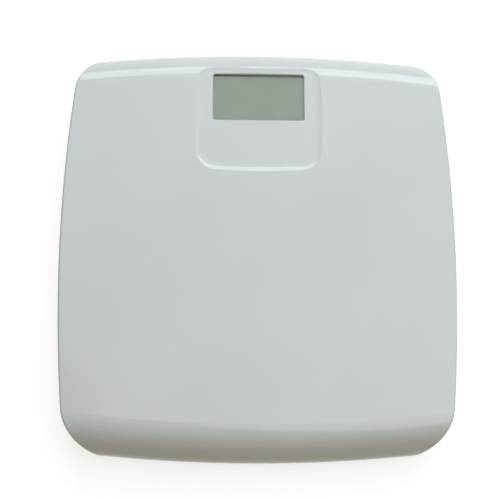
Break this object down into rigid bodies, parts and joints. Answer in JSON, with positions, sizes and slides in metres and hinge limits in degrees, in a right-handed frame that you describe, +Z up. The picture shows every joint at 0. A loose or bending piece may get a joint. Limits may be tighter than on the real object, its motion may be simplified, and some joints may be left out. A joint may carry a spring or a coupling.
{
  "type": "bathroom scale",
  "caption": "Low electronic body-weight scale: moulded platform with rolled ends and a recessed display panel, over a tray with load-cell feet, a battery door and a unit button.",
  "frame": {"origin": "on the floor, under the middle of the platform", "axes": "+X to the user's right, +Y away from the user towards the display, +Z up"},
  "size_m": [0.305, 0.33, 0.042],
  "materials": {
    "cover_plastic": "glossy white ABS, mould polished",
    "tray_plastic": "white ABS, fine mould texture",
    "frame_plastic": "dark ABS",
    "button_plastic": "grey ABS",
    "lens_clear": "clear acrylic",
    "lcd_glass": "grey-green reflective display glass, blank",
    "zebra_rubber": "layered silicone",
    "board_laminate": "green solder mask",
    "chip_resin": "black potting resin",
    "component_metal": "tinned cans",
    "socket_plastic": "natural nylon",
    "key_plastic": "black moulding",
    "screw_steel": "zinc plated",
    "battery_jacket": "plain printed jacket",
    "contact_metal": "nickel plated spring strip",
    "cell_steel": "stamped and plated steel",
    "gauge_silicone": "white silicone",
    "lead_red": "PVC sheath",
    "lead_black": "PVC sheath",
    "lead_grey": "PVC sheath",
    "foot_plastic": "white ABS",
    "pad_rubber": "matte rubber"
  },
  "bodies": {
    "scale_body": {"platform_cover": "cover_plastic", "bottom_tray": "tray_plastic", "display_lens": "lens_clear", "lcd_panel": "lcd_glass", "lcd_frame": "frame_plastic", "zebra_strip": "zebra_rubber", "circuit_board": "board_laminate", "switch_board": "board_laminate", "controller_chip": "chip_resin", "board_components": "component_metal", "lead_sockets": "socket_plastic", "board_screws": "screw_steel", "switch_screws": "screw_steel", "case_screws": "screw_steel", "key_switch": "key_plastic", "battery_near": "battery_jacket", "battery_far": "battery_jacket", "battery_contact_positive": "contact_metal", "battery_contact_negative": "contact_metal", "battery_contact_bridge": "contact_metal", "battery_lead_positive": "lead_red", "battery_lead_negative": "lead_black", "switch_lead": "lead_grey", "load_cell_front_left": "cell_steel", "gauge_coating_front_left": "gauge_silicone", "load_cell_lead_front_left": "lead_grey", "load_cell_front_right": "cell_steel", "gauge_coating_front_right": "gauge_silicone", "load_cell_lead_front_right": "lead_grey", "load_cell_back_left": "cell_steel", "gauge_coating_back_left": "gauge_silicone", "load_cell_lead_back_left": "lead_grey", "load_cell_back_right": "cell_steel", "gauge_coating_back_right": "gauge_silicone", "load_cell_lead_back_right": "lead_grey"},
    "foot_front_left": {"foot_cup_front_left": "foot_plastic", "foot_pad_front_left": "pad_rubber"},
    "foot_front_right": {"foot_cup_front_right": "foot_plastic", "foot_pad_front_right": "pad_rubber"},
    "foot_back_left": {"foot_cup_back_left": "foot_plastic", "foot_pad_back_left": "pad_rubber"},
    "foot_back_right": {"foot_cup_back_right": "foot_plastic", "foot_pad_back_right": "pad_rubber"},
    "door": {"battery_door": "tray_plastic"},
    "button": {"unit_button": "button_plastic"}
  },
  "joints": [
    {"name": "foot_front_left_slide", "type": "slide", "parent": "scale_body", "child": "foot_front_left", "axis": [0, 0, 1], "range_m": [0, 0.0005], "stiffness_N_per_m": 300, "springref_m": -0.00783},
    {"name": "foot_front_right_slide", "type": "slide", "parent": "scale_body", "child": "foot_front_right", "axis": [0, 0, 1], "range_m": [0, 0.0005], "stiffness_N_per_m": 300, "springref_m": -0.00783},
    {"name": "foot_back_left_slide", "type": "slide", "parent": "scale_body", "child": "foot_back_left", "axis": [0, 0, 1], "range_m": [0, 0.0005], "stiffness_N_per_m": 300, "springref_m": -0.00783},
    {"name": "foot_back_right_slide", "type": "slide", "parent": "scale_body", "child": "foot_back_right", "axis": [0, 0, 1], "range_m": [0, 0.0005], "stiffness_N_per_m": 300, "springref_m": -0.00783},
    {"name": "battery_door_hinge", "type": "hinge", "parent": "scale_body", "child": "door", "pos_m": [0, -0.04415, 0.006], "axis": [-1, 0, 0], "range_deg": [0, 75]},
    {"name": "unit_button_slide", "type": "slide", "parent": "scale_body", "child": "button", "axis": [0, 0, 1], "range_m": [0, 0.0008], "stiffness_N_per_m": 1500, "springref_m": -0.0003}
  ]
}
